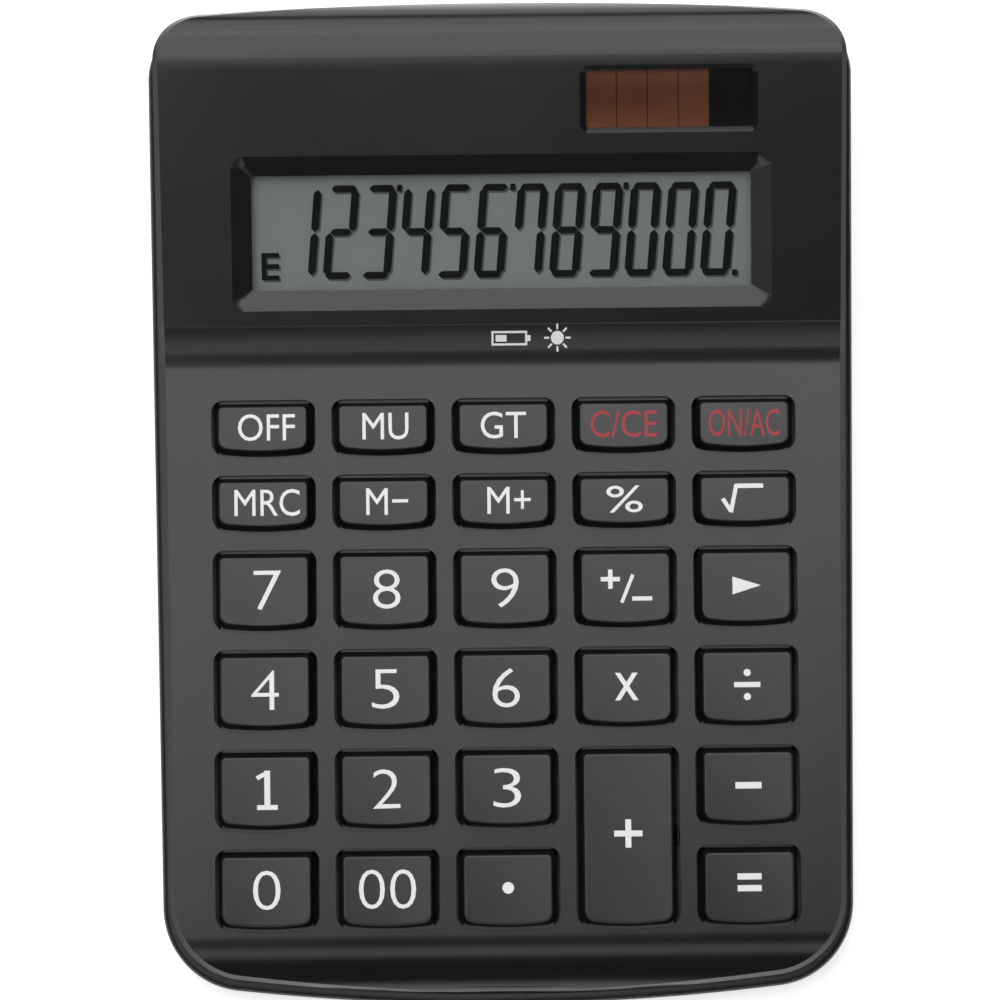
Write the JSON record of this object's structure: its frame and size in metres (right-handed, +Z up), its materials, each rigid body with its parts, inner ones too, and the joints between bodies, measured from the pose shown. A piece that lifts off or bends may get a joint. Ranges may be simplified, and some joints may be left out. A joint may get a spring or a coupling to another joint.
{
  "type": "desk calculator",
  "caption": "Wedge-shaped desk calculator with a sloping key deck, raised display and solar cell, and a screwed battery cover below.",
  "frame": {"origin": "centre of the footprint, on the surface that the rubber feet stand on", "axes": "+X to the user's right, +Y from the user towards the display, +Z up"},
  "size_m": [0.1036, 0.1464, 0.031],
  "materials": {
    "case_plastic": "fine moulded grain, satin",
    "base_plastic": "fine moulded grain, satin",
    "key_plastic": "smooth satin, printed legends",
    "clear_acrylic": "clear, polished",
    "display_glass": "polarised glass",
    "solar_glass": "thin film on glass",
    "holder_plastic": "plain moulded",
    "flat_cable": "polyimide film",
    "board_laminate": "solder mask",
    "black_resin": "cast resin",
    "silicone": "moulded silicone",
    "foot_rubber": "moulded rubber",
    "zinc_steel": "zinc plated",
    "cell_steel": "nickel plated can",
    "nickel_strip": "nickel plated spring strip",
    "wire_insulation": "extruded insulation"
  },
  "bodies": {
    "housing": {"upper_case": "case_plastic", "lower_case": "base_plastic", "case_screws": "zinc_steel", "board_screws": "zinc_steel", "rubber_feet": "foot_rubber", "battery_cell": "cell_steel", "battery_contact_positive": "nickel_strip", "battery_contact_negative": "nickel_strip", "battery_leads": "wire_insulation", "solar_leads": "wire_insulation", "display_window": "clear_acrylic", "display_cell": "display_glass", "display_holder": "holder_plastic", "display_connector": "flat_cable", "solar_window": "clear_acrylic", "solar_cell": "solar_glass", "main_board": "board_laminate", "controller_chip": "black_resin", "capacitor": "black_resin", "resistors": "black_resin", "rubber_keypad": "silicone"},
    "battery_cover": {"battery_door": "base_plastic", "battery_door_screw": "zinc_steel"},
    "key_off": {"key_off": "key_plastic"},
    "key_markup": {"key_markup": "key_plastic"},
    "key_grand_total": {"key_grand_total": "key_plastic"},
    "key_clear_entry": {"key_clear_entry": "key_plastic"},
    "key_on_clear": {"key_on_clear": "key_plastic"},
    "key_memory_recall": {"key_memory_recall": "key_plastic"},
    "key_memory_minus": {"key_memory_minus": "key_plastic"},
    "key_memory_plus": {"key_memory_plus": "key_plastic"},
    "key_percent": {"key_percent": "key_plastic"},
    "key_root": {"key_root": "key_plastic"},
    "key_7": {"key_7": "key_plastic"},
    "key_8": {"key_8": "key_plastic"},
    "key_9": {"key_9": "key_plastic"},
    "key_sign": {"key_sign": "key_plastic"},
    "key_backspace": {"key_backspace": "key_plastic"},
    "key_4": {"key_4": "key_plastic"},
    "key_5": {"key_5": "key_plastic"},
    "key_6": {"key_6": "key_plastic"},
    "key_multiply": {"key_multiply": "key_plastic"},
    "key_divide": {"key_divide": "key_plastic"},
    "key_1": {"key_1": "key_plastic"},
    "key_2": {"key_2": "key_plastic"},
    "key_3": {"key_3": "key_plastic"},
    "key_plus": {"key_plus": "key_plastic"},
    "key_minus": {"key_minus": "key_plastic"},
    "key_0": {"key_0": "key_plastic"},
    "key_00": {"key_00": "key_plastic"},
    "key_point": {"key_point": "key_plastic"},
    "key_equals": {"key_equals": "key_plastic"}
  },
  "joints": [
    {"name": "battery_cover_lift", "type": "slide", "parent": "housing", "child": "battery_cover", "axis": [0, 0, -1], "range_m": [0, 0.007]},
    {"name": "key_off_press", "type": "slide", "parent": "housing", "child": "key_off", "axis": [0, 0.0872, -0.9962], "range_m": [0, 0.0013], "stiffness_N_per_m": 400, "springref_m": -0.001, "deforming": ["rubber_keypad"]},
    {"name": "key_markup_press", "type": "slide", "parent": "housing", "child": "key_markup", "axis": [0, 0.0872, -0.9962], "range_m": [0, 0.0013], "stiffness_N_per_m": 400, "springref_m": -0.001, "deforming": ["rubber_keypad"]},
    {"name": "key_grand_total_press", "type": "slide", "parent": "housing", "child": "key_grand_total", "axis": [0, 0.0872, -0.9962], "range_m": [0, 0.0013], "stiffness_N_per_m": 400, "springref_m": -0.001, "deforming": ["rubber_keypad"]},
    {"name": "key_clear_entry_press", "type": "slide", "parent": "housing", "child": "key_clear_entry", "axis": [0, 0.0872, -0.9962], "range_m": [0, 0.0013], "stiffness_N_per_m": 400, "springref_m": -0.001, "deforming": ["rubber_keypad"]},
    {"name": "key_on_clear_press", "type": "slide", "parent": "housing", "child": "key_on_clear", "axis": [0, 0.0872, -0.9962], "range_m": [0, 0.0013], "stiffness_N_per_m": 400, "springref_m": -0.001, "deforming": ["rubber_keypad"]},
    {"name": "key_memory_recall_press", "type": "slide", "parent": "housing", "child": "key_memory_recall", "axis": [0, 0.0872, -0.9962], "range_m": [0, 0.0013], "stiffness_N_per_m": 400, "springref_m": -0.001, "deforming": ["rubber_keypad"]},
    {"name": "key_memory_minus_press", "type": "slide", "parent": "housing", "child": "key_memory_minus", "axis": [0, 0.0872, -0.9962], "range_m": [0, 0.0013], "stiffness_N_per_m": 400, "springref_m": -0.001, "deforming": ["rubber_keypad"]},
    {"name": "key_memory_plus_press", "type": "slide", "parent": "housing", "child": "key_memory_plus", "axis": [0, 0.0872, -0.9962], "range_m": [0, 0.0013], "stiffness_N_per_m": 400, "springref_m": -0.001, "deforming": ["rubber_keypad"]},
    {"name": "key_percent_press", "type": "slide", "parent": "housing", "child": "key_percent", "axis": [0, 0.0872, -0.9962], "range_m": [0, 0.0013], "stiffness_N_per_m": 400, "springref_m": -0.001, "deforming": ["rubber_keypad"]},
    {"name": "key_root_press", "type": "slide", "parent": "housing", "child": "key_root", "axis": [0, 0.0872, -0.9962], "range_m": [0, 0.0013], "stiffness_N_per_m": 400, "springref_m": -0.001, "deforming": ["rubber_keypad"]},
    {"name": "key_7_press", "type": "slide", "parent": "housing", "child": "key_7", "axis": [0, 0.0872, -0.9962], "range_m": [0, 0.0013], "stiffness_N_per_m": 400, "springref_m": -0.001, "deforming": ["rubber_keypad"]},
    {"name": "key_8_press", "type": "slide", "parent": "housing", "child": "key_8", "axis": [0, 0.0872, -0.9962], "range_m": [0, 0.0013], "stiffness_N_per_m": 400, "springref_m": -0.001, "deforming": ["rubber_keypad"]},
    {"name": "key_9_press", "type": "slide", "parent": "housing", "child": "key_9", "axis": [0, 0.0872, -0.9962], "range_m": [0, 0.0013], "stiffness_N_per_m": 400, "springref_m": -0.001, "deforming": ["rubber_keypad"]},
    {"name": "key_sign_press", "type": "slide", "parent": "housing", "child": "key_sign", "axis": [0, 0.0872, -0.9962], "range_m": [0, 0.0013], "stiffness_N_per_m": 400, "springref_m": -0.001, "deforming": ["rubber_keypad"]},
    {"name": "key_backspace_press", "type": "slide", "parent": "housing", "child": "key_backspace", "axis": [0, 0.0872, -0.9962], "range_m": [0, 0.0013], "stiffness_N_per_m": 400, "springref_m": -0.001, "deforming": ["rubber_keypad"]},
    {"name": "key_4_press", "type": "slide", "parent": "housing", "child": "key_4", "axis": [0, 0.0872, -0.9962], "range_m": [0, 0.0013], "stiffness_N_per_m": 400, "springref_m": -0.001, "deforming": ["rubber_keypad"]},
    {"name": "key_5_press", "type": "slide", "parent": "housing", "child": "key_5", "axis": [0, 0.0872, -0.9962], "range_m": [0, 0.0013], "stiffness_N_per_m": 400, "springref_m": -0.001, "deforming": ["rubber_keypad"]},
    {"name": "key_6_press", "type": "slide", "parent": "housing", "child": "key_6", "axis": [0, 0.0872, -0.9962], "range_m": [0, 0.0013], "stiffness_N_per_m": 400, "springref_m": -0.001, "deforming": ["rubber_keypad"]},
    {"name": "key_multiply_press", "type": "slide", "parent": "housing", "child": "key_multiply", "axis": [0, 0.0872, -0.9962], "range_m": [0, 0.0013], "stiffness_N_per_m": 400, "springref_m": -0.001, "deforming": ["rubber_keypad"]},
    {"name": "key_divide_press", "type": "slide", "parent": "housing", "child": "key_divide", "axis": [0, 0.0872, -0.9962], "range_m": [0, 0.0013], "stiffness_N_per_m": 400, "springref_m": -0.001, "deforming": ["rubber_keypad"]},
    {"name": "key_1_press", "type": "slide", "parent": "housing", "child": "key_1", "axis": [0, 0.0872, -0.9962], "range_m": [0, 0.0013], "stiffness_N_per_m": 400, "springref_m": -0.001, "deforming": ["rubber_keypad"]},
    {"name": "key_2_press", "type": "slide", "parent": "housing", "child": "key_2", "axis": [0, 0.0872, -0.9962], "range_m": [0, 0.0013], "stiffness_N_per_m": 400, "springref_m": -0.001, "deforming": ["rubber_keypad"]},
    {"name": "key_3_press", "type": "slide", "parent": "housing", "child": "key_3", "axis": [0, 0.0872, -0.9962], "range_m": [0, 0.0013], "stiffness_N_per_m": 400, "springref_m": -0.001, "deforming": ["rubber_keypad"]},
    {"name": "key_plus_press", "type": "slide", "parent": "housing", "child": "key_plus", "axis": [0, 0.0872, -0.9962], "range_m": [0, 0.0013], "stiffness_N_per_m": 400, "springref_m": -0.001, "deforming": ["rubber_keypad"]},
    {"name": "key_minus_press", "type": "slide", "parent": "housing", "child": "key_minus", "axis": [0, 0.0872, -0.9962], "range_m": [0, 0.0013], "stiffness_N_per_m": 400, "springref_m": -0.001, "deforming": ["rubber_keypad"]},
    {"name": "key_0_press", "type": "slide", "parent": "housing", "child": "key_0", "axis": [0, 0.0872, -0.9962], "range_m": [0, 0.0013], "stiffness_N_per_m": 400, "springref_m": -0.001, "deforming": ["rubber_keypad"]},
    {"name": "key_00_press", "type": "slide", "parent": "housing", "child": "key_00", "axis": [0, 0.0872, -0.9962], "range_m": [0, 0.0013], "stiffness_N_per_m": 400, "springref_m": -0.001, "deforming": ["rubber_keypad"]},
    {"name": "key_point_press", "type": "slide", "parent": "housing", "child": "key_point", "axis": [0, 0.0872, -0.9962], "range_m": [0, 0.0013], "stiffness_N_per_m": 400, "springref_m": -0.001, "deforming": ["rubber_keypad"]},
    {"name": "key_equals_press", "type": "slide", "parent": "housing", "child": "key_equals", "axis": [0, 0.0872, -0.9962], "range_m": [0, 0.0013], "stiffness_N_per_m": 400, "springref_m": -0.001, "deforming": ["rubber_keypad"]}
  ]
}
